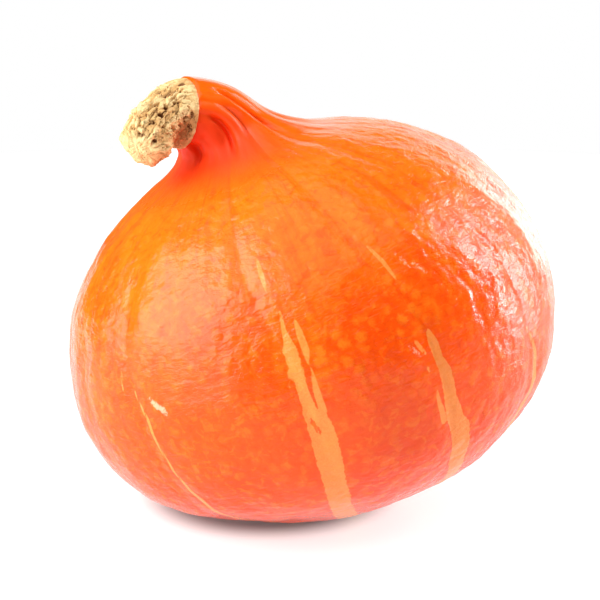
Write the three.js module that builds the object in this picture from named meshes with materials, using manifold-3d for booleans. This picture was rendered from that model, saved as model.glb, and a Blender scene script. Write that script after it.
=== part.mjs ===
// Onion-shaped winter squash with a bent, fluted neck and a corky stub of stem.
// Millimetres, +Z up. The squash stands on its own flat spot, whose middle is the origin.
// The neck bends over to the left (-X) and a little towards the front (-Y).
import * as THREE from 'three';
import { mergeVertices } from 'three/addons/utils/BufferGeometryUtils.js';
import { ImprovedNoise } from 'three/addons/math/ImprovedNoise.js';
import Module from 'manifold-3d';

const { clamp, degToRad, inverseLerp, lerp, smoothstep } = THREE.MathUtils;
const wasm = await Module();
wasm.setup();

// How the fruit lies: the axis runs from the blossom end up to the stem end
const LEAN_LEFT = degToRad(20);
const LEAN_FORWARD = degToRad(2);
const REST_SPOT = new THREE.Vector3(-10.7, -2.1, -60.5);

// Outlines of the two sides as radius and height on the axis, measured from the widest ring's middle
const RIGHT_BODY = [
  [0, -62], [28, -63], [56, -54], [78, -32], [84.5, 0], [75.5, 27], [58, 45.5], [40.5, 55.5],
];
const RIGHT_NECK = [[25, 61], [15.5, 67], [12.5, 75.5], [11, 84.5]];
const LEFT_BODY = [
  [0, -62], [25.5, -58], [49, -47.5], [72.3, -29], [79.5, -2], [71, 26], [55.5, 43.5], [39, 53.5],
];
const LEFT_NECK = [[24.6, 60], [18.2, 67], [14.9, 75.5], [11, 84.5]];
const SHOULDER_HEIGHT = 50;
const NECK_START = 55;
const NECK_END = 84.5;

// The neck curls over in one plane, which stands at this angle round the axis. Its rings tilt later
// than its centre line bends, which leaves the inner side of the bend full and smooth.
const BEND_START = 59;
const BEND_ANGLE = degToRad(62);
const BEND_TOWARDS = degToRad(212);
const BEND_STEPS = 40;
const TILT_LAG = 1.6;

// Grooves between the ribs, each with its angle round the axis in degrees, 0 at the right side:
// first at the widest ring, then where it ends at the stem's collar
const GROOVES = [
  [-168, -170], [-128, -120], [-89, -64], [-60, -42], [-32.5, -21],
  [5, 22], [42, 60], [80, 98], [117, 133], [155, 162],
];
const SHOULDER_SWAY = -5;
const RIB_STEPS = 11;
const RIB_ROUNDNESS = 0.7;
const RIB_HEIGHT = 1.1;
const RIB_RADIUS = 45;
const FOLD_HEIGHT = 2.6;
const FOLD_FROM = 50;
const FOLD_FULL = 70;
const FOLD_FADE = 72;
const COLLAR_FOLD_SHARE = 0.5;
const MIDDLE_GROOVE_SHARE = 0.25;
const OUTLINE_LEVEL = 0.85; // the outlines run this far up from the grooves to the ribs' tops

// Blossom scar: a round pit under the fruit
const SCAR_RADIUS = 8;
const SCAR_DEPTH = 1.2;

const FRUIT_RINGS = 42;
const RING_CROWDING = 1.3;
const CUTTER_SIZE = 200;

// Corky stub: it leaves the neck end square, then droops forward and down, with a hollow underside
const STEM_GAP = 0.3;
const STEM_DROP = 1;
const STEM_REACH = 7.5;
const STEM_TIP = new THREE.Vector3(-12, -17.5, -9.5);
const STEM_RADII = [10.8, 10.4, 9.9, 9.5, 9.1, 8.7, 8.3];
const STEM_RINGS = 26;
const STEM_AROUND = 60;
const STEM_ROUNDED_SHARE = 0.12;
const STEM_TIP_FLATTENING = 0.75;
const SMOOTH_COLLAR_SHARE = 0.1;
const STEM_HOLLOW_DEPTH = 2.2;
const STEM_HOLLOW_ANGLE = degToRad(305);
const STEM_HOLLOW_HALF_WIDTH = degToRad(75);
const CORK_RIDGES = 11;
const CORK_RIDGE_HEIGHT = 0.5;
const CORK_RIDGE_TWIST = 5;
const CORK_LUMP_HEIGHT = 1.5;
const CORK_LUMP_SIZE = 5;

const RIND_MATERIAL = new THREE.MeshStandardMaterial({ color: 0xf2601a, roughness: 0.35, metalness: 0 });
const CORK_MATERIAL = new THREE.MeshStandardMaterial({ color: 0xd9c08a, roughness: 0.9, metalness: 0 });

// Directions of the leaning fruit: along its axis, to its right side and to its back
const AXIS = new THREE.Vector3(
  -Math.sin(LEAN_LEFT) * Math.cos(LEAN_FORWARD),
  -Math.sin(LEAN_FORWARD),
  Math.cos(LEAN_LEFT) * Math.cos(LEAN_FORWARD),
);
const RIGHT = new THREE.Vector3(1, 0, 0).projectOnPlane(AXIS).normalize();
const BACK = AXIS.clone().cross(RIGHT);

// Direction in which the neck bends, and the line that it bends about
const BEND = new THREE.Vector3()
  .addScaledVector(RIGHT, Math.cos(BEND_TOWARDS))
  .addScaledVector(BACK, Math.sin(BEND_TOWARDS));
const HINGE = AXIS.clone().cross(BEND);

const bendAt = (height) => BEND_ANGLE * smoothstep(height, BEND_START, NECK_END);
const tiltAt = (height) => BEND_ANGLE * clamp(inverseLerp(BEND_START, NECK_END, height), 0, 1) ** TILT_LAG;

// Point of the centre line at a height along it
function spineAt(height) {
  const straight = Math.min(height, BEND_START);
  const point = AXIS.clone().multiplyScalar(straight);
  const step = (height - straight) / BEND_STEPS;
  for (let i = 0; i < BEND_STEPS; i++) {
    const bend = bendAt(straight + (i + 0.5) * step);
    point.addScaledVector(AXIS, Math.cos(bend) * step).addScaledVector(BEND, Math.sin(bend) * step);
  }
  return point;
}

// Offset from the centre line by a radius at an angle round the axis, in a ring tilted towards the bend
function offsetFromSpine(angle, radius, tilt) {
  const towardsBend = radius * Math.cos(angle - BEND_TOWARDS);
  return new THREE.Vector3()
    .addScaledVector(BEND, towardsBend * Math.cos(tilt))
    .addScaledVector(AXIS, -towardsBend * Math.sin(tilt))
    .addScaledVector(HINGE, radius * Math.sin(angle - BEND_TOWARDS));
}

// Height of a rib between two grooves, 0 in the grooves, with a weak third groove down its middle
function ribProfile(across) {
  const rib = Math.sin(Math.PI * across) ** RIB_ROUNDNESS;
  const halves = Math.abs(Math.sin(2 * Math.PI * across)) ** RIB_ROUNDNESS;
  return lerp(rib, halves, MIDDLE_GROOVE_SHARE);
}

// Ribs are shallow on the body, vanish at the blossom end and turn into folds on the neck
function ribHeight(radius, height) {
  const body = RIB_HEIGHT * smoothstep(radius, 0, RIB_RADIUS);
  const neck = FOLD_HEIGHT * lerp(1, COLLAR_FOLD_SHARE, smoothstep(height, FOLD_FADE, NECK_END));
  return lerp(body, neck, smoothstep(height, FOLD_FROM, FOLD_FULL));
}

const outline = (points) => new THREE.SplineCurve(points.map(([r, h]) => new THREE.Vector2(r, h)));
const rightCurve = outline([...RIGHT_BODY, ...RIGHT_NECK]);
const leftCurve = outline([...LEFT_BODY, ...LEFT_NECK]);

// Angle round the axis of a place across a rib: the ribs sway on the shoulder and twist up the neck
function ribAngle(rib, across, height) {
  const [bodyFrom, collarFrom] = GROOVES[rib];
  const last = rib === GROOVES.length - 1;
  const [bodyTo, collarTo] = last ? GROOVES[0].map((degrees) => degrees + 360) : GROOVES[rib + 1];
  const onBody = lerp(bodyFrom, bodyTo, across) + SHOULDER_SWAY * smoothstep(height, 0, SHOULDER_HEIGHT);
  const atCollar = lerp(collarFrom, collarTo, across);
  return degToRad(lerp(onBody, atCollar, smoothstep(height, NECK_START, NECK_END)));
}

// Point of the rind, by its place along the outline (0 to 1) and its rib and place across that rib
function rindPoint(along, rib, across) {
  const right = rightCurve.getPoint(along);
  const left = leftCurve.getPoint(along);
  const angle = ribAngle(rib, across, (right.y + left.y) / 2);
  const side = (1 + Math.cos(angle)) / 2;
  const radius = lerp(left.x, right.x, side);
  const scar = SCAR_DEPTH * smoothstep(SCAR_RADIUS - radius, 0, SCAR_RADIUS);
  const height = lerp(left.y, right.y, side) + scar;
  const relief = ribHeight(radius, height) * (ribProfile(across) - OUTLINE_LEVEL);
  return spineAt(height).add(offsetFromSpine(angle, radius + relief, tiltAt(height))).sub(REST_SPOT);
}

// Closed skin over a stack of rings with equal numbers of points, and a pole at each end
function skinOver(startPole, rings, endPole) {
  const around = rings[0].length;
  const points = [startPole, ...rings.flat(), endPole];
  const at = (ring, i) => 1 + ring * around + (i % around);
  const top = rings.length - 1;
  const faces = [];
  for (let i = 0; i < around; i++) {
    faces.push(0, at(0, i + 1), at(0, i));
    for (let ring = 0; ring < top; ring++) {
      faces.push(at(ring, i), at(ring, i + 1), at(ring + 1, i + 1));
      faces.push(at(ring, i), at(ring + 1, i + 1), at(ring + 1, i));
    }
    faces.push(at(top, i), at(top, i + 1), points.length - 1);
  }
  const geometry = new THREE.BufferGeometry().setFromPoints(points);
  geometry.setIndex(faces);
  return geometry;
}

// Solid for cutting, from a closed geometry
function solidFrom(geometry) {
  const plain = geometry.clone();
  plain.deleteAttribute('normal');
  plain.deleteAttribute('uv');
  const merged = mergeVertices(plain, 1e-4);
  return new wasm.Manifold(new wasm.Mesh({
    numProp: 3,
    vertProperties: new Float32Array(merged.attributes.position.array),
    triVerts: new Uint32Array(merged.index.array),
  }));
}

function geometryFrom(solid) {
  const mesh = solid.getMesh();
  const geometry = new THREE.BufferGeometry();
  geometry.setAttribute('position', new THREE.BufferAttribute(new Float32Array(mesh.vertProperties), 3));
  geometry.setIndex(new THREE.BufferAttribute(new Uint32Array(mesh.triVerts), 1));
  geometry.computeVertexNormals();
  return geometry;
}

function makeFruit() {
  const rings = [];
  for (let ring = 1; ring <= FRUIT_RINGS; ring++) {
    const along = (ring / FRUIT_RINGS) ** RING_CROWDING;
    const points = [];
    for (let rib = 0; rib < GROOVES.length; rib++) {
      for (let step = 0; step < RIB_STEPS; step++) {
        points.push(rindPoint(along, rib, step / RIB_STEPS));
      }
    }
    rings.push(points);
  }
  const blossomEnd = rindPoint(0, 0, 0);
  const neckEnd = spineAt(NECK_END).sub(REST_SPOT);
  const whole = solidFrom(skinOver(blossomEnd, rings, neckEnd));
  const table = new THREE.BoxGeometry(CUTTER_SIZE, CUTTER_SIZE, CUTTER_SIZE);
  table.translate(0, 0, -CUTTER_SIZE / 2);
  const fruit = new THREE.Mesh(geometryFrom(whole.subtract(solidFrom(table))), RIND_MATERIAL);
  fruit.name = 'fruit';
  return fruit;
}

function makeStem() {
  const collarOut = new THREE.Vector3()
    .addScaledVector(AXIS, Math.cos(BEND_ANGLE))
    .addScaledVector(BEND, Math.sin(BEND_ANGLE));
  const start = spineAt(NECK_END).sub(REST_SPOT).addScaledVector(collarOut, STEM_GAP);
  start.add(offsetFromSpine(BEND_TOWARDS, STEM_DROP, BEND_ANGLE));
  const control = start.clone().addScaledVector(collarOut, STEM_REACH);
  const line = new THREE.QuadraticBezierCurve3(start, control, start.clone().add(STEM_TIP));
  const radii = new THREE.SplineCurve(STEM_RADII.map((radius, i) => new THREE.Vector2(i, radius)));
  const noise = new ImprovedNoise();
  const rings = [];
  for (let ring = 0; ring < STEM_RINGS; ring++) {
    const along = ring / (STEM_RINGS - 1);
    const middle = line.getPoint(along);
    const direction = line.getTangent(along);
    const sideways = HINGE.clone().projectOnPlane(direction).normalize();
    const upwards = direction.clone().cross(sideways);
    const intoTip = Math.max(0, (along - 1 + STEM_ROUNDED_SHARE) / STEM_ROUNDED_SHARE);
    const radius = radii.getPoint(along).y * Math.sqrt(1 - STEM_TIP_FLATTENING * intoTip ** 2);
    const rough = smoothstep(along, 0, SMOOTH_COLLAR_SHARE);
    const points = [];
    for (let i = 0; i < STEM_AROUND; i++) {
      const angle = (2 * Math.PI * i) / STEM_AROUND;
      const out = sideways.clone().multiplyScalar(Math.cos(angle)).addScaledVector(upwards, Math.sin(angle));
      const spot = middle.clone().addScaledVector(out, radius).divideScalar(CORK_LUMP_SIZE);
      const lump = CORK_LUMP_HEIGHT * noise.noise(spot.x, spot.y, spot.z);
      const ridge = CORK_RIDGE_HEIGHT * Math.sin(CORK_RIDGES * angle + CORK_RIDGE_TWIST * along);
      const under = smoothstep(Math.cos(angle - STEM_HOLLOW_ANGLE), Math.cos(STEM_HOLLOW_HALF_WIDTH), 1);
      const hollow = STEM_HOLLOW_DEPTH * under * Math.sin(Math.PI * along);
      points.push(middle.clone().addScaledVector(out, radius - hollow + rough * (lump + ridge)));
    }
    rings.push(points);
  }
  const stem = new THREE.Mesh(skinOver(line.getPoint(0), rings, line.getPoint(1)), CORK_MATERIAL);
  stem.geometry.computeVertexNormals();
  stem.name = 'stem';
  return stem;
}

const group = new THREE.Group();
group.add(makeFruit(), makeStem());

export default group;
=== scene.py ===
# %% [markdown]
# # A red kuri squash, from frame to finished look
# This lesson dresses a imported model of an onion-shaped winter squash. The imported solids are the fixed
# frame: they say where the fruit and its corky stem are, and how big. Each step below explains one piece
# or one finish before it makes it. Sizes are in millimetres until the moment a mesh is written, because
# that is how one measures a squash, and Blender gets metres.

# %% The frame
import math

import bpy
import numpy as np
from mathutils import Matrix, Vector, noise


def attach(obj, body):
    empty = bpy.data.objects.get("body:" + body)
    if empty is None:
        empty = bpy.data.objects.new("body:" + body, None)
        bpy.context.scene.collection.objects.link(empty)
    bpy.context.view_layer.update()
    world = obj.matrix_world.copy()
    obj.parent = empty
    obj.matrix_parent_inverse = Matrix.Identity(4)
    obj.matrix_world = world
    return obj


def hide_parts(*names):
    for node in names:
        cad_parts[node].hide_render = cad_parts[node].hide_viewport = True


MM = 0.001
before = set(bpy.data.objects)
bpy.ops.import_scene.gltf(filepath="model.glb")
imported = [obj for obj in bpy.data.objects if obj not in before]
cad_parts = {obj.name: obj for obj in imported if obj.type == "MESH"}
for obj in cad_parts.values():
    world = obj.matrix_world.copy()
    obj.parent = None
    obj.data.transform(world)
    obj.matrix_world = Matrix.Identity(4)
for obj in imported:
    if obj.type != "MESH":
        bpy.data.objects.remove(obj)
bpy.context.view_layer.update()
print("nodes in the frame:", sorted(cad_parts))

# %% [markdown]
# ## The camera
# The photograph was taken with a long lens from a little above the fruit. A fit of the fruit's outline
# gives the view: 15 degrees above the table, 600 mm from the fruit's middle, with 3 pixels of a 600 pixel
# picture to the millimetre there. On Blender's 36 mm sensor that is a 108 mm lens. The camera aims a
# little above the fruit's middle, because the photograph leaves more room below it than above.

# %% Camera
BODY_MIDDLE = Vector((10.7, 2.1, 60.5))
CAMERA_RISE = math.radians(15)
CAMERA_DISTANCE = 600
PIXELS_PER_MM = 3.0
PICTURE_PIXELS = 600
AIM_RIGHT = 0.4
AIM_UP = 5.9

to_camera = Vector((0, -math.cos(CAMERA_RISE), math.sin(CAMERA_RISE)))
picture_up = Vector((0, math.sin(CAMERA_RISE), math.cos(CAMERA_RISE)))
camera_data = bpy.data.cameras.new("camera")
camera_data.sensor_width = 36
camera_data.lens = camera_data.sensor_width * PIXELS_PER_MM * CAMERA_DISTANCE / PICTURE_PIXELS
camera = bpy.data.objects.new("camera", camera_data)
camera.location = (BODY_MIDDLE + to_camera * CAMERA_DISTANCE) * MM
aim = (BODY_MIDDLE + Vector((AIM_RIGHT, 0, 0)) + picture_up * AIM_UP) * MM
camera.rotation_euler = (aim - camera.location).to_track_quat("-Z", "Y").to_euler()
bpy.context.scene.collection.objects.link(camera)
bpy.context.scene.camera = camera
print("lens in mm:", round(camera_data.lens, 1))

# %% [markdown]
# ## Nodes as sums
# A material is a network of nodes, and long networks are hard to read as code. This small class wraps one
# output socket. Adding, multiplying or subtracting two of them adds the Math node that does it, so a mask
# can be written as `1 - a * b`. Everything else, such as a noise texture, comes from one method, `node`.
# The functions after it are the few nodes that both materials use again and again.

# %% The socket wrapper
BUMP_DEPTH = 0.3 * MM


class Shade:
    """An output socket of a node tree, with arithmetic that adds Math nodes."""

    def __init__(self, tree, socket=None):
        self.tree = tree
        self.socket = socket

    def node(self, kind, settings=None, inputs=None, output=0):
        """Adds a node, sets it up, feeds its sockets, and returns one of its outputs."""
        made = self.tree.nodes.new(kind)
        for name, value in (settings or {}).items():
            setattr(made, name, value)
        for name, value in (inputs or {}).items():
            if isinstance(value, Shade):
                self.tree.links.new(value.socket, made.inputs[name])
            else:
                made.inputs[name].default_value = value
        return Shade(self.tree, made.outputs[output])

    def maths(self, operation, *values):
        """Adds a Math node that works on these values."""
        return self.node("ShaderNodeMath", {"operation": operation}, dict(enumerate(values)))

    def __add__(self, other):
        return self.maths("ADD", self, other)

    def __sub__(self, other):
        return self.maths("SUBTRACT", self, other)

    def __rsub__(self, other):
        return self.maths("SUBTRACT", other, self)

    def __mul__(self, other):
        return self.maths("MULTIPLY", self, other)

    __radd__ = __add__
    __rmul__ = __mul__


def attribute(shade, name):
    """Reads a value that the mesh stores at its points."""
    return shade.node("ShaderNodeAttribute", {"attribute_name": name}, output="Fac")


def millimetres(shade):
    """The place on the object in millimetres."""
    metres = shade.node("ShaderNodeTexCoord", output="Object")
    return metres.node("ShaderNodeVectorMath", {"operation": "SCALE"}, {"Vector": metres, "Scale": 1 / MM})


def along_ribs(cos_value, sin_value, height_value, turn_scale, height_scale):
    """A place for noise, made of the angle round the axis and the height, each with its own scale."""
    return cos_value.node("ShaderNodeCombineXYZ", {}, {
        "X": cos_value * turn_scale, "Y": sin_value * turn_scale, "Z": height_value * height_scale})


def rise(value, low, high):
    """0 below low, 1 above high, and a smooth rise between them."""
    return value.node("ShaderNodeMapRange", {"interpolation_type": "SMOOTHSTEP"},
                      {"Value": value, "From Min": low, "From Max": high})


def blend(factor, first, second):
    """Mixes two colours: factor 0 gives the first and 1 the second."""
    return factor.node("ShaderNodeMix", {"data_type": "RGBA"}, {0: factor, 6: first, 7: second}, output=2)


def grain(place, size, detail=3.0, roughness=0.5, distortion=0.0):
    """Soft noise from 0 to 1, whose features are about size across, in millimetres."""
    return place.node("ShaderNodeTexNoise", {}, {
        "Vector": place, "Scale": 1 / size, "Detail": detail, "Roughness": roughness,
        "Distortion": distortion})


def colour(red, green, blue):
    """A colour picked on screen, 0 to 255, as the linear colour that shaders use."""
    screen = np.array([red, green, blue]) / 255
    linear = np.where(screen <= 0.04045, screen / 12.92, ((screen + 0.055) / 1.055) ** 2.4)
    return (*linear, 1.0)


def new_material(name):
    """A material with an empty tree: returns it, a Shade to add nodes with, and its shader node."""
    material = bpy.data.materials.new(name)
    material.use_nodes = True
    tree = material.node_tree
    shader = tree.nodes["Principled BSDF"]
    return material, Shade(tree), shader


def connect(shade, shader, socket):
    """Links a value into a named socket of a shader."""
    shade.tree.links.new(shade.socket, shader.inputs[socket])


def fine_relief(value, strength):
    """Relief too fine for the mesh, as a bent normal."""
    return value.node("ShaderNodeBump", {}, {
        "Height": value, "Distance": BUMP_DEPTH, "Strength": strength}, output="Normal")


print("shader helpers are ready")

# %% [markdown]
# ## The outline of the fruit
# A squash is nearly a solid of revolution, but the left and right sides of this one differ, so it has two
# outlines. Each is a list of a few radius and height pairs on the fruit's own axis, from the blossom end
# to the neck, joined by a smooth curve. Going round the axis, the shape slides from one outline to the
# other. The axis leans to the left, and its top curls over to make the bent neck. These are the same
# values that the frame's solids were made from, so the finer skin lies where the solid is.

# %% Outlines and centre line
LEAN_LEFT = math.radians(20)
LEAN_FORWARD = math.radians(2)
RIGHT_OUTLINE = [
    (0, -62), (28, -63), (56, -54), (78, -32), (84.5, 0), (75.5, 27), (58, 45.5), (40.5, 55.5), (25, 61),
    (15.5, 67), (12.5, 75.5), (11, 84.5),
]
LEFT_OUTLINE = [
    (0, -62), (25.5, -58), (49, -47.5), (72.3, -29), (79.5, -2), (71, 26), (55.5, 43.5), (39, 53.5),
    (24.6, 60), (18.2, 67), (14.9, 75.5), (11, 84.5),
]
NECK_START = 55
NECK_END = 84.5
BEND_START = 59
BEND_ANGLE = math.radians(62)
BEND_TOWARDS = math.radians(212)
TILT_LAG = 1.6

axis = np.array([-math.sin(LEAN_LEFT) * math.cos(LEAN_FORWARD), -math.sin(LEAN_FORWARD),
                 math.cos(LEAN_LEFT) * math.cos(LEAN_FORWARD)])
right_side = np.array([1.0, 0, 0]) - axis[0] * axis
right_side /= np.linalg.norm(right_side)
back_side = np.cross(axis, right_side)
bend_side = math.cos(BEND_TOWARDS) * right_side + math.sin(BEND_TOWARDS) * back_side
hinge = np.cross(axis, bend_side)


def ease(x, low, high):
    """0 below low, 1 above high, smooth between."""
    t = np.clip((x - low) / (high - low), 0, 1)
    return t * t * (3 - 2 * t)


def smooth_curve(points, along):
    """Catmull-Rom curve through the points, at places from 0 to 1."""
    points = np.array(points, float)
    last = len(points) - 1
    place = np.asarray(along) * last
    i = np.minimum(place.astype(int), last - 1)
    t = (place - i)[..., None]
    before, here, there, after = (points[np.clip(i + k, 0, last)] for k in (-1, 0, 1, 2))
    leave = (there - before) / 2
    arrive = (after - here) / 2
    return ((2 * here - 2 * there + leave + arrive) * t**3
            + (3 * there - 3 * here - 2 * leave - arrive) * t**2 + leave * t + here)


spine_heights = np.linspace(-80, 90, 1701)
spine_bend = BEND_ANGLE * ease(spine_heights, BEND_START, NECK_END)
spine_steps = np.cos(spine_bend)[:, None] * axis + np.sin(spine_bend)[:, None] * bend_side
spine_line = np.cumsum(spine_steps, axis=0) * (spine_heights[1] - spine_heights[0])
spine_line -= spine_line[np.argmin(np.abs(spine_heights))]
spine_line += np.array(BODY_MIDDLE)


def at_spine(height):
    """Points of the centre line at given heights along it."""
    return np.stack([np.interp(height, spine_heights, spine_line[:, k]) for k in range(3)], axis=-1)


def tilt_at(height):
    """How far the rings tilt: later than the line bends, which keeps the bend's inner side smooth."""
    return BEND_ANGLE * np.clip((height - BEND_START) / (NECK_END - BEND_START), 0, 1) ** TILT_LAG


def from_spine(angle, radius, tilt):
    """Offsets from the centre line by a radius at an angle round the axis, in a tilted ring."""
    towards = radius * np.cos(angle - BEND_TOWARDS)
    return ((towards * np.cos(tilt))[..., None] * bend_side - (towards * np.sin(tilt))[..., None] * axis
            + (radius * np.sin(angle - BEND_TOWARDS))[..., None] * hinge)


neck_end = at_spine(np.array(NECK_END))
print("the neck ends at", neck_end.round(1), "mm")

# %% [markdown]
# ## Ribs and folds
# Ten shallow grooves run from pole to pole, about a millimetre deep, with a weaker groove down the middle
# of each rib. On the neck the same ribs turn into deep folds and twist, so each groove has an angle on the
# body and another where it ends at the stem's collar. The skin is a grid of rings, with as many points in
# each rib as in the next, so that every groove is a row of points and stays sharp.

# %% Ribs of the fruit
BODY_GROOVES = [-168, -128, -89, -60, -32.5, 5, 42, 80, 117, 155]
COLLAR_GROOVES = [-170, -120, -64, -42, -21, 22, 60, 98, 133, 162]
RIB_HEIGHT = 1.1
NECK_FOLD_HEIGHT = 2.6
RIB_ROUNDNESS = 0.7
NECK_ROUNDNESS = 1.7
NECK_TOP_ANGLE = math.radians(15)
NECK_TOP_SMOOTHING = 0.6
MIDDLE_GROOVE_SHARE = 0.25
MIDDLE_GROOVE_LOSS = 0.6
RIB_TOP = 0.85
FULL_RIB_RADIUS = 45
RIBS_TO_FOLDS = (50, 70)
FOLDS_ROUNDED = (NECK_START, 68)
FOLDS_FLATTENED = (72, 82)
COLLAR_FLATTENING = 0.75
SHOULDER_SWAY = -5
SHOULDER = (0, 50)
SCAR_RADIUS = 8
SCAR_DEPTH = 1.2
FRUIT_RINGS = 214
STEPS_PER_RIB = 44
AROUND = STEPS_PER_RIB * len(BODY_GROOVES)


def rib_profile(across, height):
    """Height across a rib, 0 in the grooves at its sides, with a weak groove down its middle."""
    fold_share = ease(height, *FOLDS_ROUNDED)
    power = RIB_ROUNDNESS + (NECK_ROUNDNESS - RIB_ROUNDNESS) * fold_share
    rib = np.sin(np.pi * across) ** power
    halves = np.abs(np.sin(2 * np.pi * across)) ** power
    return rib + (halves - rib) * MIDDLE_GROOVE_SHARE * (1 - MIDDLE_GROOVE_LOSS * fold_share)


def rib_height(radius, height):
    """Height of the body's ribs and the neck's folds, which flatten towards the collar."""
    body = RIB_HEIGHT * ease(radius, 0, FULL_RIB_RADIUS)
    neck = NECK_FOLD_HEIGHT * (1 - COLLAR_FLATTENING * ease(height, *FOLDS_FLATTENED))
    return body + (neck - body) * ease(height, *RIBS_TO_FOLDS)


dense = np.linspace(0, 1, 2000)
middle_outline = (smooth_curve(RIGHT_OUTLINE, dense) + smooth_curve(LEFT_OUTLINE, dense)) / 2
outline_length = np.concatenate([[0], np.cumsum(np.linalg.norm(np.diff(middle_outline, axis=0), axis=1))])
ring_length = np.linspace(0.3, outline_length[-1], FRUIT_RINGS)
ring_along = np.interp(ring_length, outline_length, dense)

rib_place = np.arange(AROUND) / STEPS_PER_RIB
across = np.broadcast_to(rib_place % 1, (FRUIT_RINGS, AROUND))
right = smooth_curve(RIGHT_OUTLINE, ring_along)[:, None, :]
left = smooth_curve(LEFT_OUTLINE, ring_along)[:, None, :]
middle_height = (right + left)[..., 1] / 2
body_angle, collar_angle = (np.interp(rib_place, np.arange(len(grooves) + 1), grooves + [grooves[0] + 360])
                            for grooves in (BODY_GROOVES, COLLAR_GROOVES))
body_angle = body_angle + SHOULDER_SWAY * ease(middle_height, *SHOULDER)
angle = np.radians(body_angle + (collar_angle - body_angle) * ease(middle_height, NECK_START, NECK_END))
side = ((1 + np.cos(angle)) / 2)[..., None]
radius, height = np.moveaxis(left + (right - left) * side, -1, 0)
height = height + SCAR_DEPTH * ease(SCAR_RADIUS - radius, 0, SCAR_RADIUS)
profile = rib_profile(across, height)
smooth_top = NECK_TOP_SMOOTHING * ease(np.cos(angle - NECK_TOP_ANGLE), 0.1, 0.9) * ease(height, 60, 70)
relief = rib_height(radius, height) * (profile - RIB_TOP) * (1 - smooth_top)
smooth_skin = at_spine(height) + from_spine(angle, radius + relief, tilt_at(height))
print("ribs:", len(BODY_GROOVES), "over", smooth_skin.shape[0], "rings of", smooth_skin.shape[1], "points")

# %% [markdown]
# ## Dents, wrinkles, veins and creases
# The photograph also shows softer dents a few centimetres across, a pebbled skin, long veins on the
# shoulder, wrinkles on the right side and a few sharp creases on the neck. A bump in the material could
# fake them, but they are wide enough for the mesh to hold, so they are modelled and change the outline.
# A crease is a few stations down its line, with a raised bank beside it.

# %% Skin relief
UNEVENNESS = [
    # height and size of dents, lumps and pebbles in mm, and the share of each that the neck doesn't have
    (0.5, 24, 0.6),
    (0.28, 8, 0.9),
    (0.05, 3.0, 1),
]
WRINKLE_HEIGHT = 0.19
WRINKLE_SIZE = 2.4
WRINKLE_STRETCH = 0.5
WRINKLED_SIDE = math.radians(-15)
WRINKLES_ELSEWHERE = 0.15
VEIN_HEIGHT = 0.34
VEIN_WIDTH = 8
VEIN_ZONE = (-30, 25)
VEIN_LOSS = 0.85
FLOW_RADIUS = 60
FLOW_STRETCH = 0.12
SMOOTH_POLE_RADIUS = 12

CREASES = [
    # stations of angle in degrees and height in mm, down each crease, then its depth and half width in mm.
    # The one with a depth below 0 fills a groove that the neck's front doesn't have.
    ([(-122, 84), (-123, 82), (-128, 71), (-128, 66), (-132, 62)], 1.0, 0.9),
    ([(-99, 81), (-101, 78), (-105.5, 71), (-105, 60)], 0.4, 1.0),
    ([(-64, 81), (-67, 79), (-73.5, 73), (-81, 67), (-86, 61)], 0.9, 0.8),
    ([(-15, 81), (-20.5, 78.5), (-29.5, 75), (-32.5, 69.5), (-31, 65), (-31.5, 61)], 1.1, 1.0),
    ([(-42, 84), (-47, 76), (-53, 70), (-58, 64), (-62, 58)], -0.5, 2.0),
    ([(60, 80), (58, 72), (52, 62)], 0.7, 1.0),
    ([(118, 82), (116, 72), (112, 60)], 0.9, 0.9),
    ([(170, 82), (168, 72), (166, 63)], 0.8, 0.9),
]
CREASE_BANK = 0.55
BANK_OFFSET = 2
CREASE_FADE_BELOW = 6
CREASE_FADE_ABOVE = 4


def random_height(points, size, octaves):
    """Smooth random height from about -1 to 1 at points in millimetres, with features of a given size."""
    flat = (points.reshape(-1, 3) / size).tolist()
    return np.array([noise.fractal(p, 1.0, 2.0, octaves) for p in flat]).reshape(points.shape[:-1])


def angle_past(middle):
    """How far round the axis each point of the fruit is past an angle, at most half a turn either way."""
    return np.mod(angle - middle + np.pi, 2 * np.pi) - np.pi


def outward(points):
    """Normals of a grid of points that closes on itself along its second axis."""
    along_ring = np.roll(points, -1, axis=1) - np.roll(points, 1, axis=1)
    up_rings = np.gradient(points, axis=0)
    normal = np.cross(along_ring, up_rings)
    return normal / np.maximum(np.linalg.norm(normal, axis=-1, keepdims=True), 1e-9)


on_neck = ease(height, 52, 66)
skin_relief = np.zeros(radius.shape)
for uneven_height, uneven_size, lost_on_neck in UNEVENNESS:
    uneven = uneven_height * random_height(smooth_skin, uneven_size, 2)
    skin_relief += uneven * (1 - lost_on_neck * on_neck)

wrinkled = ease(np.cos(angle - WRINKLED_SIDE), 0.3, 0.85)
wrinkled = (WRINKLES_ELSEWHERE + (1 - WRINKLES_ELSEWHERE) * wrinkled) * (1 - on_neck)
wrinkle_flow = np.stack([radius * np.cos(angle), radius * np.sin(angle), WRINKLE_STRETCH * height], axis=-1)
skin_relief += WRINKLE_HEIGHT * random_height(wrinkle_flow, WRINKLE_SIZE, 2) * wrinkled

flow = np.stack([FLOW_RADIUS * np.cos(angle), FLOW_RADIUS * np.sin(angle), FLOW_STRETCH * height], axis=-1)
vein_share = ease(height, *VEIN_ZONE) * (1 - VEIN_LOSS * on_neck)
skin_relief += VEIN_HEIGHT * random_height(flow, VEIN_WIDTH, 2) * vein_share

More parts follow.
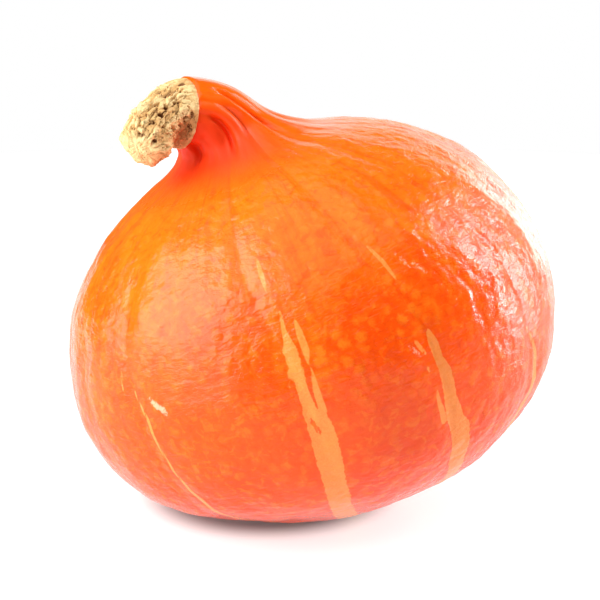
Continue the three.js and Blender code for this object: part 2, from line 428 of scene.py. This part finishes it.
for crease, crease_depth, half_width in CREASES:
    crease_angle, crease_height = np.array(crease).T[:, ::-1]
    low_end, high_end = crease_height[0], crease_height[-1]
    middle = np.radians(np.interp(height, crease_height, crease_angle))
    from_crease = angle_past(middle) * radius / half_width
    fade = ease(height, low_end, low_end + CREASE_FADE_BELOW)
    fade = fade * (1 - ease(height, high_end - CREASE_FADE_ABOVE, high_end))
    skin_relief -= crease_depth * fade * np.exp(-(from_crease**2))
    skin_relief += max(crease_depth, 0) * CREASE_BANK * fade * np.exp(-((from_crease + BANK_OFFSET) ** 2))
skin_relief *= ease(radius, 0, SMOOTH_POLE_RADIUS)
skin = smooth_skin + outward(smooth_skin) * skin_relief[..., None]
print("fruit skin:", skin.shape[0], "rings of", skin.shape[1], "points")

# %% [markdown]
# ## The flat spot
# A heavy soft fruit rests on a small flat patch. The frame cuts it with a plane at the table's height. A
# sharp cut would look sliced, so here the height of each point is eased up to the table, which rounds the
# patch's rim over about a millimetre.

# %% Resting spot
REST_EASE = 0.6
skin[..., 2] = (skin[..., 2] + np.sqrt(skin[..., 2] ** 2 + REST_EASE**2)) / 2
print("lowest point of the skin in mm:", round(float(skin[..., 2].min()), 3))

# %% [markdown]
# ## Stripes and scuffs
# Pale orange stripes follow the grooves on the lower half and widen towards the blossom end. Each is a
# few ragged strokes. A stroke is stored on the mesh as the distance in millimetres from its edge, negative
# inside: a distance changes evenly from point to point, so the material can add fine noise to it and cut
# it off sharply, and the stripe's edge comes out far crisper than the mesh. A stroke is a few stations from
# top to bottom, each with an angle in degrees, a height on the axis and half the stroke's width there.
# Narrow strokes get less noise, or it would eat them, so the width is stored too. A few dry scuffs, where
# the rind was rubbed, are stored the same way.

# %% Stripe distances
STROKES = [
    # the wide stripe in front and its side strands, and above it a thin pale line that is a painted highlight
    # of a ridge catching light
    [(-87.5, 25, 0.3), (-88, 20, 0.7), (-88, 16.2, 1.3), (-88.2, 15.3, 2.0), (-88.2, 1, 2.1),
     (-88.3, -3, 2.3), (-88, -4.5, 3.2), (-88, -12, 3.7), (-88.5, -20, 3.9), (-90.5, -37, 3.4),
     (-95, -62, 3.4)],
    [(-85, 21.5, 0.4), (-85, 18, 1.0), (-85, 13, 1.1), (-85.5, 9, 0.3)],
    [(-85.3, 7.5, 0.3), (-85.8, 2, 0.9), (-86.2, -5, 1.3)],
    [(-90.2, 8.2, 0.4), (-90.7, 4.5, 0.4)],
    # painted highlight: light caught on a ridge above the wide stripe, drawn as a stroke in the stripe's
    # colour
    [(-89, 39, 0.4), (-89, 35, 0.8), (-89, 31, 0.3)],
    # the one to its right
    [(-59.5, 3.8, 0.6), (-59.5, 0, 1.5), (-59.5, -5, 1.3), (-59, -9, 1.9), (-59.5, -20, 2.3), (-59, -26, 2.8),
     (-58, -29, 3.2), (-57.5, -36, 3.2), (-57, -44, 2.8), (-51, -62, 2.6)],
    [(-63.2, 3, 0.6), (-62.6, 0, 0.8), (-62, -2, 0.4)],
    [(-62.2, -14, 0.4), (-62.4, -18.5, 0.7), (-62, -25, 1.0)],
    [(-62.6, -6, 0.5), (-62.4, -7.5, 0.5)],
    [(-62, 31.8, 0.4), (-61, 26.5, 0.7), (-60.5, 20.8, 0.4)],
    # thin lines on the left
    [(-129, 12.5, 0.4), (-126.5, 4, 0.7), (-125.5, -12, 0.6), (-123.5, -28, 0.9), (-120, -62, 1.2)],
    [(-132.5, 18, 0.5), (-132.5, 13, 0.4)],
    # the sides and the back
    [(-32.5, -14, 0.5), (-30, -24, 0.9), (-29, -34, 1.4), (-33, -60, 2.0)],
    [(5, 6, 0.3), (4, -10, 1.6), (6, -40, 3.0), (5, -62, 3.2)],
    [(2, -2, 0.4), (1.6, -12, 0.8), (2.4, -20, 0.5)],
    [(42, -6, 0.3), (43, -24, 1.2), (42, -62, 2.2)],
    [(80, 14, 0.4), (79, -8, 2.0), (80, -38, 3.1), (81, -62, 3.2)],
    [(82.5, 8, 0.4), (82.5, -4, 1.0), (82, -14, 0.5)],
    [(117, -4, 0.4), (118, -22, 1.6), (116, -62, 2.4)],
    [(155, 8, 0.4), (154, -12, 1.5), (156, -38, 2.6), (155, -62, 2.8)],
    [(-168, -2, 0.3), (-167, -26, 1.3), (-168, -62, 2.2)],
]
SLITS = [
    # gaps of plain rind inside the wide stripe
    [(-86.9, 10, 0.3), (-86.9, 4, 0.5), (-87.1, -4, 0.4), (-87.4, -7, 0.2)],
    [(-89.2, -7, 0.5), (-88.6, -10, 0.8), (-88.4, -12.5, 0.4)],
]
SCUFFS = [
    [(-124, 10, 0.4), (-123, 8.8, 1.6), (-121.5, 7, 1.8), (-120, 5.2, 0.5)],
    [(-57.5, 27, 0.2), (-56.5, 22.8, 0.4), (-56, 22, 0.2)],
    [(-55, 23, 0.2), (-54.3, 20.3, 0.5), (-53.8, 18.6, 0.2)],
    [(-64.5, 2, 0.3), (-64, 0.6, 0.7), (-63.6, -1, 0.3)],
]
FAR_AWAY = 50.0


def stroke_distance(strokes):
    """Distance in mm from the edge of the nearest stroke, negative inside, and that stroke's half width."""
    nearest = np.full(radius.shape, FAR_AWAY)
    width_there = np.zeros(radius.shape)
    for stroke in strokes:
        stroke_angle, stroke_height, stroke_half = np.array(stroke).T[:, ::-1]
        middle = np.radians(np.interp(height, stroke_height, stroke_angle))
        half = np.interp(height, stroke_height, stroke_half)
        sideways = np.abs(angle_past(middle)) * radius
        past_end = np.maximum(np.maximum(height - stroke_height[-1], stroke_height[0] - height), 0)
        distance = np.hypot(sideways, past_end) - half
        width_there = np.where(distance < nearest, half, width_there)
        nearest = np.minimum(nearest, distance)
    return nearest, width_there


stripe, stripe_half = stroke_distance(STROKES)
stripe = np.maximum(stripe, -stroke_distance(SLITS)[0])
scuff = stroke_distance(SCUFFS)[0]
print("stripes cover about", round(100 * float((stripe < 0).mean()), 1), "% of the points")

# %% [markdown]
# ## Mesh of a grid
# Both the fruit and the stem are grids of rings, closed by a point at each end. One function writes such
# a grid as a mesh, in metres, with the values that the material reads and a UV map that unrolls the grid.

# %% Grid to mesh
def ring_mesh(name, rings, start, end, values):
    """A closed mesh over a grid of rings, with values stored at its points."""
    count, around = rings.shape[:2]
    points = np.concatenate([[start], rings.reshape(-1, 3), [end]]) * MM
    ring, step = np.meshgrid(np.arange(count - 1), np.arange(around), indexing="ij")
    following = (step + 1) % around
    quads = np.stack([1 + ring * around + step, 1 + ring * around + following,
                      1 + (ring + 1) * around + following, 1 + (ring + 1) * around + step], axis=-1)
    i = np.arange(around)
    after = (i + 1) % around
    top = 1 + (count - 1) * around
    start_fan = np.stack([np.zeros_like(i), 1 + after, 1 + i], axis=-1)
    end_fan = np.stack([top + i, top + after, np.full_like(i, len(points) - 1)], axis=-1)
    faces = quads.reshape(-1, 4).tolist() + start_fan.tolist() + end_fan.tolist()
    mesh = bpy.data.meshes.new(name)
    mesh.from_pydata(points.tolist(), [], faces)
    mesh.polygons.foreach_set("use_smooth", np.ones(len(mesh.polygons), bool))
    for value_name, grid in values.items():
        stored = np.concatenate([[grid[0].mean()], grid.reshape(-1), [grid[-1].mean()]])
        layer = mesh.attributes.new(value_name, "FLOAT", "POINT")
        layer.data.foreach_set("value", stored.astype(np.float32))
    u, v = step / around, (ring + 1) / (count + 1)
    du, dv = 1 / around, 1 / (count + 1)
    quad_uv = np.stack([[u, v], [u + du, v], [u + du, v + dv], [u, v + dv]])
    fan_u = i / around
    start_uv = np.stack([[fan_u + du / 2, 0 * fan_u], [fan_u + du, 0 * fan_u + dv], [fan_u, 0 * fan_u + dv]])
    end_uv = np.stack([[fan_u, 0 * fan_u + 1 - dv], [fan_u + du, 0 * fan_u + 1 - dv],
                       [fan_u + du / 2, 0 * fan_u + 1]])
    uv = np.concatenate([np.moveaxis(corners, (0, 1), (-2, -1)).reshape(-1, 2)
                         for corners in (quad_uv, start_uv, end_uv)])
    mesh.uv_layers.new(name="OFBake").data.foreach_set("uv", uv.astype(np.float32).reshape(-1))
    mesh.validate()
    piece = bpy.data.objects.new(name, mesh)
    bpy.context.scene.collection.objects.link(piece)
    return piece


blossom_point = skin[0].mean(axis=0)
fruit = ring_mesh("fruit_skin", skin, blossom_point, neck_end, {
    "stripe": stripe, "stripe_half": stripe_half, "scuff": scuff, "radius": radius, "height": height,
    "turn_cos": np.cos(angle), "turn_sin": np.sin(angle)})
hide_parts("fruit")
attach(fruit, "root")
print("fruit faces:", len(fruit.data.polygons))

# %% [markdown]
# ## The rind's colours
# The rind is deep orange, yellower on top and redder low down and round the neck, with streaks that run
# from pole to pole. The yellower top is partly the rind's own colour and partly painted light, and the
# redder bottom is partly its own colour and partly painted shade. The height on the axis sets the mean
# colour, and noise moves the border up and down so that no line shows. The streaks are noise read from a
# place that is stretched along the ribs, which the mesh's stored angle gives. The underside of the bent
# neck is the reddest: partly its own red and partly painted shade.

# %% Rind colours
RIND_ORANGE = colour(246, 80, 7)
RIND_YELLOW_AND_LIT = colour(248, 108, 6)
RIND_RED_AND_SHADED = colour(226, 48, 6)
RIND_DEEP = colour(238, 66, 4)
NECK_RED = colour(242, 62, 4)
YELLOW_AND_LIT_HEIGHTS = (0.0, 60.0)
RED_AND_SHADED_HEIGHTS = (-65.0, -10.0)
RED_AND_SHADED_SHARE = 0.8
STREAK_HEIGHTS = (-20.0, 45.0)
STREAK_SHARE = 0.4
NECK_HEIGHTS = (52.0, 64.0)
AWAY_FROM_BEND = (0.85, 0.53)
NECK_RED_ABOVE = 0.35
NECK_RED_AND_SHADE_BELOW = 1.0

rind, shade, shader = new_material("rind")
place = millimetres(shade)
height_value = attribute(shade, "height")
cos_value = attribute(shade, "turn_cos")
sin_value = attribute(shade, "turn_sin")
flow_place = along_ribs(cos_value, sin_value, height_value, FLOW_RADIUS, FLOW_STRETCH)
neck_zone = rise(height_value, *NECK_HEIGHTS)
facing_down = 1 - rise(cos_value * AWAY_FROM_BEND[0] + sin_value * AWAY_FROM_BEND[1], -0.5, 0.6)

streaks = grain(flow_place, 5.0, detail=4.0, roughness=0.6)
patches = grain(place, 26.0, detail=2.0)
# painted light and shade: yellower towards the top and redder towards the bottom, partly the rind's own
# colour
yellow_and_lit_share = rise(height_value + (streaks - 0.5) * 70.0 + (patches - 0.5) * 80.0, *YELLOW_AND_LIT_HEIGHTS)
red_and_shaded_share = 1 - rise(height_value + (patches - 0.5) * 50.0, *RED_AND_SHADED_HEIGHTS)
base = blend(yellow_and_lit_share, RIND_ORANGE, RIND_YELLOW_AND_LIT)
base = blend(red_and_shaded_share * RED_AND_SHADED_SHARE, base, RIND_RED_AND_SHADED)
print("nodes for the colours:", len(rind.node_tree.nodes))

# %% [markdown]
# ## Flecks and mottling
# Lighter flecks a few millimetres across lie all over the rind, clearest in three places. They are cells of
# a Voronoi texture, pushed about by noise so that they aren't round: full spots in some areas and rings in
# others. A finer noise mottles the rind between them with both lighter and deeper orange.

# %% Flecks and mottling
FLECK = colour(250, 122, 26)
SPOT_SIZE = 3.6
SPOT_WANDER = 1.6
SPOT_ZONES = [(39, -52, 107), (33, -71, 85), (19, -76, 78)]
SPOT_ZONE_REACH = 22.0
FLECK_SHARE = 0.25
FLECK_SHARE_ADDED = 0.5
MOTTLE_PALE_SHARE = 0.42
MOTTLE_DEEP_SHARE = 0.45

push = place.node("ShaderNodeTexNoise", {}, {"Vector": place, "Scale": 1 / 2.5, "Detail": 2.0},
                  output="Color")
wander = push.node("ShaderNodeVectorMath", {"operation": "MULTIPLY_ADD"}, {
    0: push, 1: (SPOT_WANDER, SPOT_WANDER, SPOT_WANDER), 2: place})
cells = wander.node("ShaderNodeTexVoronoi", {"feature": "F1"}, {
    "Vector": wander, "Scale": 1 / SPOT_SIZE, "Randomness": 0.9})
speckle = grain(place, 0.6, detail=2.0)
spot = 1 - rise(cells + (speckle - 0.5) * 0.35, 0.22, 0.62)
ring = 1 - rise((cells - 0.34).maths("ABSOLUTE"), 0.04, 0.20)
zone = grain(place, 11.0, detail=2.0)
spots = (spot * rise(zone, 0.42, 0.56) + ring * (1 - rise(zone, 0.40, 0.52)) * 0.5) * (1 - neck_zone)
spot_zone = None
for zone_middle in SPOT_ZONES:
    reach = place.node("ShaderNodeVectorMath", {"operation": "DISTANCE"}, {0: place, 1: zone_middle},
                       output="Value")
    in_zone = 1 - rise(reach, 0.4 * SPOT_ZONE_REACH, SPOT_ZONE_REACH)
    spot_zone = in_zone if spot_zone is None else spot_zone.maths("MAXIMUM", spot_zone, in_zone)
base = blend(spots * (FLECK_SHARE + spot_zone * FLECK_SHARE_ADDED), base, FLECK)

mottle = grain(place, 3.4, detail=4.0, roughness=0.62, distortion=0.6)
base = blend(rise(mottle, 0.52, 0.66) * MOTTLE_PALE_SHARE * (1 - neck_zone), base, FLECK)
base = blend(rise(mottle, 0.47, 0.34) * MOTTLE_DEEP_SHARE * (1 - neck_zone * 0.6), base, RIND_DEEP)
streak_share = rise(grain(flow_place, 3.2, detail=3.0, roughness=0.6), 0.52, 0.72)
streak_share = streak_share * rise(height_value, *STREAK_HEIGHTS)
base = blend(streak_share * STREAK_SHARE, base, NECK_RED)
# painted shade: the whole neck is redder, and the extra red on its underside stands in for shade there
base = blend(neck_zone * (NECK_RED_ABOVE + facing_down * (NECK_RED_AND_SHADE_BELOW - NECK_RED_ABOVE)), base, NECK_RED)
print("nodes with the flecks:", len(rind.node_tree.nodes))

# %% [markdown]
# ## Stripes, scar and scuffs
# The stored distances are cut off here. Fine noise is added to a distance first, so a stripe's edge comes
# out ragged, and less of it where the stripe is narrow. The scar is a brown disc at the blossom end, by its
# radius from the axis.

# %% Stripes on the rind
STRIPE = colour(250, 150, 70)
SCAR_BROWN = colour(150, 112, 66)
SCUFF = colour(250, 206, 168)
STRIPE_SHARE = 0.75
SCUFF_SHARE = 0.6
SCAR_EDGE = (3.6, 4.6)
SCAR_HEIGHTS = (-50.0, -45.0)

ragged = ((grain(flow_place, 1.4, detail=4.0, roughness=0.75) - 0.5) * 2.6
          + (grain(place, 1.1, detail=3.0) - 0.5) * 1.6)
ragged = ragged * (0.1 + rise(attribute(shade, "stripe_half"), 0.3, 3.5) * 0.7)
stripe_share = 1 - rise(attribute(shade, "stripe") + ragged, -0.2, 0.2)
base = blend(stripe_share * (STRIPE_SHARE + (speckle - 0.5) * 0.5), base, STRIPE)
scar_share = 1 - rise(attribute(shade, "radius") + (grain(place, 1.0) - 0.5) * 2.0, *SCAR_EDGE)
scar_share = scar_share * (1 - rise(height_value, *SCAR_HEIGHTS))
base = blend(scar_share, base, SCAR_BROWN)
scuff_share = 1 - rise(attribute(shade, "scuff") + (grain(place, 0.9, detail=3.0) - 0.5) * 3.0, -0.9, 0.5)
base = blend(scuff_share * SCUFF_SHARE, base, SCUFF)
connect(base, shader, "Base Color")
print("nodes with the stripes:", len(rind.node_tree.nodes))

# %% [markdown]
# ## Wax and wrinkles
# The rind has a waxy gloss, a little rougher in patches and on the right side, and dry on the scar and on
# the underside of the neck. Very fine wrinkles along the ribs and the relief of the flecks break it up.

# %% Gloss and wrinkles
GLOSS = 0.17
DRY_ROUGHNESS = 0.4
RIGHT_ROUGHNESS = 0.05
RIGHT_WRINKLES = 0.35
RIND_IOR = 1.35
WRINKLE_SCALES = (45.0, 1.7)

rough_side = rise(cos_value, 0.55, 0.95) * (1 - neck_zone)
gloss = (GLOSS + rough_side * RIGHT_ROUGHNESS + (patches - 0.5) * 0.08 + (grain(place, 1.5) - 0.5) * 0.12
         + scar_share * DRY_ROUGHNESS + neck_zone * facing_down * DRY_ROUGHNESS)
connect(gloss, shader, "Roughness")
shader.inputs["IOR"].default_value = RIND_IOR

wrinkle_place = along_ribs(cos_value, sin_value, height_value, *WRINKLE_SCALES)
wrinkles = grain(wrinkle_place, 2.0, detail=3.0, roughness=0.6, distortion=0.4)
skin_height = wrinkles * (1 + rough_side * RIGHT_WRINKLES) + speckle * 0.25 + spot * 0.35
connect(fine_relief(skin_height * (1 - neck_zone * 0.8), 1.0), shader, "Normal")
fruit.data.materials.append(rind)
print("nodes of the whole rind:", len(rind.node_tree.nodes))

# %% [markdown]
# ## The corky stem
# The stem of this squash is a stub of soft cork: a plug on the end of the neck that droops forward, with a
# paler face where it broke off. It is a tube of rings along a short curve, hollow on its underside, that
# starts as a lip round the neck's end. The rings turn evenly from the way the neck points to the way the
# stub points, so none of them cross.

# %% Stem shape
STEM_LIP = 0.7
LIP_THICKNESS = 0.5
LIP_TUCK = 1.3
STEM_DROP = 1
STEM_REACH = 7.5
STEM_TIP = np.array([-12, -17.5, -9.5])
STEM_RADII = [10.8, 10.4, 9.9, 9.5, 9.1, 8.7, 8.3]
LIP_TUCKED = (0, 0.8)
LIP_THICK = (3.5, 9)
HOLLOW_DEPTH = 2.2
HOLLOW_ANGLE = math.radians(305)
HOLLOW_HALF_WIDTH = math.radians(75)
HOLLOW_START = (0.12, 0.4)
LIP_RINGS = 8
TUBE_RINGS = 130
END_RINGS = 38
STEM_AROUND = 264
END_BULGE = 0.5
ROUNDED_SHARE = 0.12
TIP_FLATTENING = 0.75

collar_along = math.cos(BEND_ANGLE) * axis + math.sin(BEND_ANGLE) * bend_side
collar_drop = from_spine(np.array(BEND_TOWARDS), np.array(float(STEM_DROP)), np.array(BEND_ANGLE))
stem_start = neck_end + collar_drop
stem_control = stem_start + STEM_REACH * collar_along
stem_tip = stem_start + STEM_TIP

tube_t = np.linspace(0, 1, TUBE_RINGS)
tube_weights = [(1 - tube_t) ** 2, 2 * tube_t * (1 - tube_t), tube_t**2]
tube = sum(w[:, None] * point for w, point in zip(tube_weights, (stem_start, stem_control, stem_tip)))
tube_directions = np.gradient(tube, axis=0)
tube_directions /= np.linalg.norm(tube_directions, axis=1, keepdims=True)
lip_t = np.linspace(-1, 0, LIP_RINGS + 1)[:-1]
end_t = np.linspace(0, 1, END_RINGS + 1)[1:]
lip_centres = stem_start + lip_t[:, None] * STEM_LIP * collar_along
end_centres = tube[-1] + END_BULGE * np.sin(end_t * math.pi / 2)[:, None] * tube_directions[-1]
centres = np.concatenate([lip_centres, tube, end_centres])
along = np.concatenate([0 * lip_t, tube_t, 1 + 0 * end_t])
turn = math.acos(collar_along @ tube_directions[-1])
ring_direction = (np.sin((1 - along) * turn)[:, None] * collar_along
                  + np.sin(along * turn)[:, None] * tube_directions[-1]) / math.sin(turn)
sideways = hinge - (ring_direction @ hinge)[:, None] * ring_direction
sideways /= np.linalg.norm(sideways, axis=1, keepdims=True)
upwards = np.cross(ring_direction, sideways)

into_tip = np.clip((along - 1 + ROUNDED_SHARE) / ROUNDED_SHARE, 0, 1)
travel = np.concatenate([[0], np.cumsum(np.linalg.norm(np.diff(centres, axis=0), axis=1))])[:, None]
ring_radius = smooth_curve([(r, 0) for r in STEM_RADII], along)[:, 0]
ring_radius *= np.sqrt(1 - TIP_FLATTENING * into_tip**2)
ring_radius += LIP_THICKNESS * (1 - ease(travel[:, 0], *LIP_THICK))
ring_radius -= LIP_TUCK * (1 - ease(travel[:, 0], *LIP_TUCKED))
ring_radius[-END_RINGS:] *= 1 - 0.99 * end_t
stem_angle = np.linspace(0, 2 * math.pi, STEM_AROUND, endpoint=False)
under = ease(np.cos(stem_angle - HOLLOW_ANGLE), math.cos(HOLLOW_HALF_WIDTH), 1)
hollow = HOLLOW_DEPTH * under * (np.sin(math.pi * along) * ease(along, *HOLLOW_START))[:, None]
out = (np.cos(stem_angle)[None, :, None] * sideways[:, None]
       + np.sin(stem_angle)[None, :, None] * upwards[:, None])
stem_radius = ring_radius[:, None] - hollow
stem_smooth = centres[:, None] + stem_radius[..., None] * out
print("stem:", stem_smooth.shape[0], "rings of", stem_smooth.shape[1], "points")

# %% [markdown]
# ## Plates, cracks and pits
# The cork is lumpy, and it flakes into plates with cracks between them and a few holes. The tube's points
# are pushed in and out along their normals. Cracks come from the lines where a random height passes through
# zero, which wander like real ones, and plates come from cutting a random height into steps. Both are
# stretched along the stem, as its fibres are. Next to the neck all of it fades out, so that the lip lies
# close, and the broken face at the tip has less of it. How far in each point lies is stored, so the
# material can darken the deep parts: partly the cork's own brown, partly painted shade.

# %% Cork relief
FIBRE_STRETCH = 0.45
WARP = 0.9
LUMP_HEIGHT = 0.75
PLATE_HEIGHT = 0.34
PLATE_STEPS = 3.2
CRUMB_HEIGHT = 0.16
LIP_RELIEF = 0.25
LIP_DARKENING = 0.3
PLATES_LOST = 0.7
CRACKS_LOST = 0.75
CRUMBS_LOST = 0.6
CRACKS = [
    # depth, size, octaves and width of each kind of crack
    (0.9, 2.6, 3, 0.10),
    (0.7, 3.4, 2, 0.05),
    (0.35, 1.3, 2, 0.14),
]
PITS = [
    # share of the stem's length, angle in degrees, radius and depth in mm
    (0.16, 62, 1.2, 1.5), (0.60, 35, 0.9, 1.3), (0.71, 33, 1.2, 1.6), (0.69, 357, 1.2, 1.6),
    (0.48, 342, 1.0, 1.3), (0.82, 68, 0.8, 0.9), (0.97, 51, 1.6, 1.0), (0.96, 5, 1.1, 1.3),
    (0.30, 170, 1.2, 1.4), (0.62, 215, 1.4, 1.5), (0.80, 140, 0.9, 1.2),
]

fibre_place = np.stack([stem_radius * np.cos(stem_angle), stem_radius * np.sin(stem_angle),
                        FIBRE_STRETCH * travel + 0 * stem_radius], axis=-1)
broken = ease(into_tip, 0.3, 1)[:, None] + 0 * stem_radius


def crack_lines(place, size, octaves, width):
    """1 along the lines where a random height crosses zero, 0 away from them."""
    return 1 - ease(np.abs(random_height(place, size, octaves)), 0, width)


warp = WARP * np.stack([random_height(fibre_place + shift, 2.6, 2) for shift in (0.0, 17.0, 41.0)], axis=-1)
bent_place = fibre_place + warp
lumps = LUMP_HEIGHT * random_height(fibre_place + 5, 5.0, 2)
steps = PLATE_STEPS * random_height(bent_place + 90, 2.8, 2)
plates = PLATE_HEIGHT * (np.floor(steps) + ease(steps % 1, 0, 0.2) - 0.5)
crack_places = (bent_place, bent_place + 30, fibre_place + 60)
cracks = sum(crack_depth * crack_lines(where, size, octaves, width)
             for where, (crack_depth, size, octaves, width) in zip(crack_places, CRACKS))
crumbs = CRUMB_HEIGHT * random_height(fibre_place + 11, 0.9, 2) * (1 - CRUMBS_LOST * broken)
pits = np.zeros(stem_radius.shape)
for pit_along, pit_angle, pit_radius, pit_depth in PITS:
    ring = LIP_RINGS + round(pit_along * (TUBE_RINGS - 1))
    step = round(pit_angle / 360 * STEM_AROUND)
    reach = np.linalg.norm(stem_smooth - stem_smooth[ring, step] + 0.3 * warp, axis=-1)
    pits = np.maximum(pits, pit_depth * (1 - ease(reach, 0.3 * pit_radius, pit_radius)))
depth = plates * (1 - PLATES_LOST * broken) - cracks * (1 - CRACKS_LOST * broken) - pits + crumbs
in_and_out = (lumps + depth) * (LIP_RELIEF * ease(travel, 0.1, 1) + (1 - LIP_RELIEF) * ease(travel, 2.5, 7))
stem_points = stem_smooth + outward(stem_smooth) * in_and_out[..., None]
stem = ring_mesh("stem_cork", stem_points, centres[0], stem_points[-1].mean(axis=0), {
    "depth": depth * (LIP_DARKENING + (1 - LIP_DARKENING) * ease(travel, 1, 5)), "broken": broken,
    "under": under * np.sin(math.pi * along)[:, None]})
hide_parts("stem")
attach(stem, "root")
print("stem faces:", len(stem.data.polygons))

# %% [markdown]
# ## The cork's finish
# Dry cork is straw coloured and quite matt. The cracks and the undersides of plates are brown and the
# standing edges are cream, partly the cork's own colours and partly painted shade, and the broken face is
# the palest. The hollow underside is browner too, partly weathering and partly painted shade. The stored
# depth drives that, with noise at two sizes over it so that no two places are alike.

# %% Cork material
CORK_CREAM = colour(238, 208, 148)
CORK_STRAW = colour(214, 168, 104)
CORK_BROWN_AND_SHADE = colour(126, 76, 36)
CORK_WEATHERED_AND_SHADED = colour(208, 148, 92)
CORK_BREAK = colour(238, 210, 150)
CORK_ROUGHNESS = 0.85

cork, shade, shader = new_material("cork")
place = millimetres(shade)
depth_value = attribute(shade, "depth") + (grain(place, 0.6, detail=4.0) - 0.5) * 0.7
stains = rise(grain(place, 3.5, detail=3.0), 0.48, 0.70)
# painted shade: the hollow underside of the stem is browner, partly weathering and partly shade
weathered_and_shaded = rise(attribute(shade, "under") + (grain(place, 2.5, detail=3.0) - 0.5) * 0.9, 0.15, 0.75)
# painted shade: creamier where the cork stands out and darker where it lies deep, partly its own colours
base = blend(rise(depth_value, -0.35, 0.30), CORK_STRAW, CORK_CREAM)
base = blend(stains * 0.35, base, CORK_WEATHERED_AND_SHADED)
# the underside's brown is partly weathering and partly painted shade
base = blend(weathered_and_shaded * 0.8, base, CORK_WEATHERED_AND_SHADED)
base = blend(attribute(shade, "broken") * rise(grain(place, 1.6, detail=4.0), 0.25, 0.5), base, CORK_BREAK)
# painted shade: brown in the cracks, pits and under the plates, partly the cork's own brown
base = blend(rise(depth_value, -0.45, -1.05), base, CORK_BROWN_AND_SHADE)
connect(base, shader, "Base Color")
shader.inputs["Roughness"].default_value = CORK_ROUGHNESS
connect(fine_relief(grain(place, 0.5, detail=4.0, roughness=0.65), 0.8), shader, "Normal")
stem.data.materials.append(cork)
print("cork nodes:", len(cork.node_tree.nodes))

# %% [markdown]
# ## The floor
# The photograph is a squash on white, lit so brightly that little of a shadow is left. A plain white floor
# would come out grey under lights that suit the fruit, so this one glows. Where the fruit touches it the
# glow is weak: a painted shadow, which leaves the soft dark line under the fruit. The fruit's underside
# reflects the glow, as it does in the photograph.

# %% Floor
FLOOR_RADIUS = 0.7
FLOOR_SIDES = 96
FLOOR_GREY = 0.4
FLOOR_ROUGHNESS = 0.9
FLOOR_GLOW = 0.72
FLOOR_PAINTED_SHADOW_GREY = 0.1
FLOOR_DARK_RADIUS = 0.031
FLOOR_BRIGHT_RADIUS = 0.047
WHITE = (1, 1, 1, 1)


def grey(level):
    """A grey of the given level as a colour."""
    return (level, level, level, 1)


floor_mesh = bpy.data.meshes.new("floor")
floor_angles = np.linspace(0, 2 * math.pi, FLOOR_SIDES, endpoint=False)
floor_rim = np.stack([np.cos(floor_angles), np.sin(floor_angles), 0 * floor_angles], axis=-1) * FLOOR_RADIUS
floor_mesh.from_pydata(floor_rim.tolist(), [], [list(range(FLOOR_SIDES))])
floor = bpy.data.objects.new("floor", floor_mesh)
bpy.context.scene.collection.objects.link(floor)

floor_paint, shade, shader = new_material("floor_paint")
floor_place = shade.node("ShaderNodeTexCoord", output="Object")
from_middle = floor_place.node("ShaderNodeVectorMath", {"operation": "LENGTH"}, {"Vector": floor_place},
                               output="Value")
# painted shadow: the floor glows less in a disc round the contact
outside_painted_shadow = rise(from_middle, FLOOR_DARK_RADIUS, FLOOR_BRIGHT_RADIUS)
connect(blend(outside_painted_shadow, grey(FLOOR_PAINTED_SHADOW_GREY), WHITE), shader, "Emission Color")
shader.inputs["Base Color"].default_value = grey(FLOOR_GREY)
shader.inputs["Emission Strength"].default_value = FLOOR_GLOW
shader.inputs["Roughness"].default_value = FLOOR_ROUGHNESS
shader.inputs["Specular IOR Level"].default_value = 0.0
floor_mesh.materials.append(floor_paint)
print("floor across, in metres:", 2 * FLOOR_RADIUS)

# %% [markdown]
# ## The lights
# The highlights tell where the lights stand: a ray from the camera that bounces off a highlight goes on to
# the light. That gives a big soft box to the left, with a weaker and wider one round it, and to the right a
# tall, narrow and strong one with a small one above it. Two more stand behind, for the pale rim, and a weak
# one hangs above. The camera sees a white backdrop, but the fruit sees a dark room, or its colours would
# wash out.

# %% Lights and backdrop
LIGHT_DISTANCE = 1.2
LIGHTS = {
    # azimuth to the right of the camera and elevation in degrees, width and height in metres, radiance,
    # and the distance in metres where it isn't the usual one
    "soft_box_left": (-69, 26, 1.3, 1.15, 5.2),
    "soft_box_left_wide": (-73, 24, 1.9, 1.6, 0.9, 1.3),
    "soft_box_right": (104, 15, 0.17, 1.15, 37.0),
    "soft_box_right_high": (103, 48, 0.3, 0.2, 11.0),
    "soft_box_back": (144, 8, 0.4, 0.9, 4.8),
    "soft_box_behind": (168, 14, 1.0, 0.9, 1.35),
    "soft_box_top": (-40, 70, 1.5, 1.5, 1.3),
}
ROOM_GREY = 0.08


def soft_box(name, azimuth, elevation, width, height, radiance, distance=LIGHT_DISTANCE):
    """A rectangular light that faces the fruit's middle. Azimuth 0 is the camera's side."""
    lamp = bpy.data.lights.new(name, "AREA")
    lamp.shape = "RECTANGLE"
    lamp.size, lamp.size_y = width, height
    lamp.energy = radiance * math.pi * width * height
    box = bpy.data.objects.new(name, lamp)
    a, e = math.radians(azimuth), math.radians(elevation)
    direction = Vector((math.sin(a) * math.cos(e), -math.cos(a) * math.cos(e), math.sin(e)))
    box.location = BODY_MIDDLE * MM + direction * distance
    box.rotation_euler = (-direction).to_track_quat("-Z", "Y").to_euler()
    bpy.context.scene.collection.objects.link(box)


for name, values in LIGHTS.items():
    soft_box(name, *values)
world = bpy.data.worlds.new("studio")
world.use_nodes = True
seen = Shade(world.node_tree).node("ShaderNodeLightPath", output="Is Camera Ray")
connect(blend(seen, grey(ROOM_GREY), WHITE), world.node_tree.nodes["Background"], "Color")
bpy.context.scene.world = world
bpy.context.scene.view_settings.view_transform = "Standard"
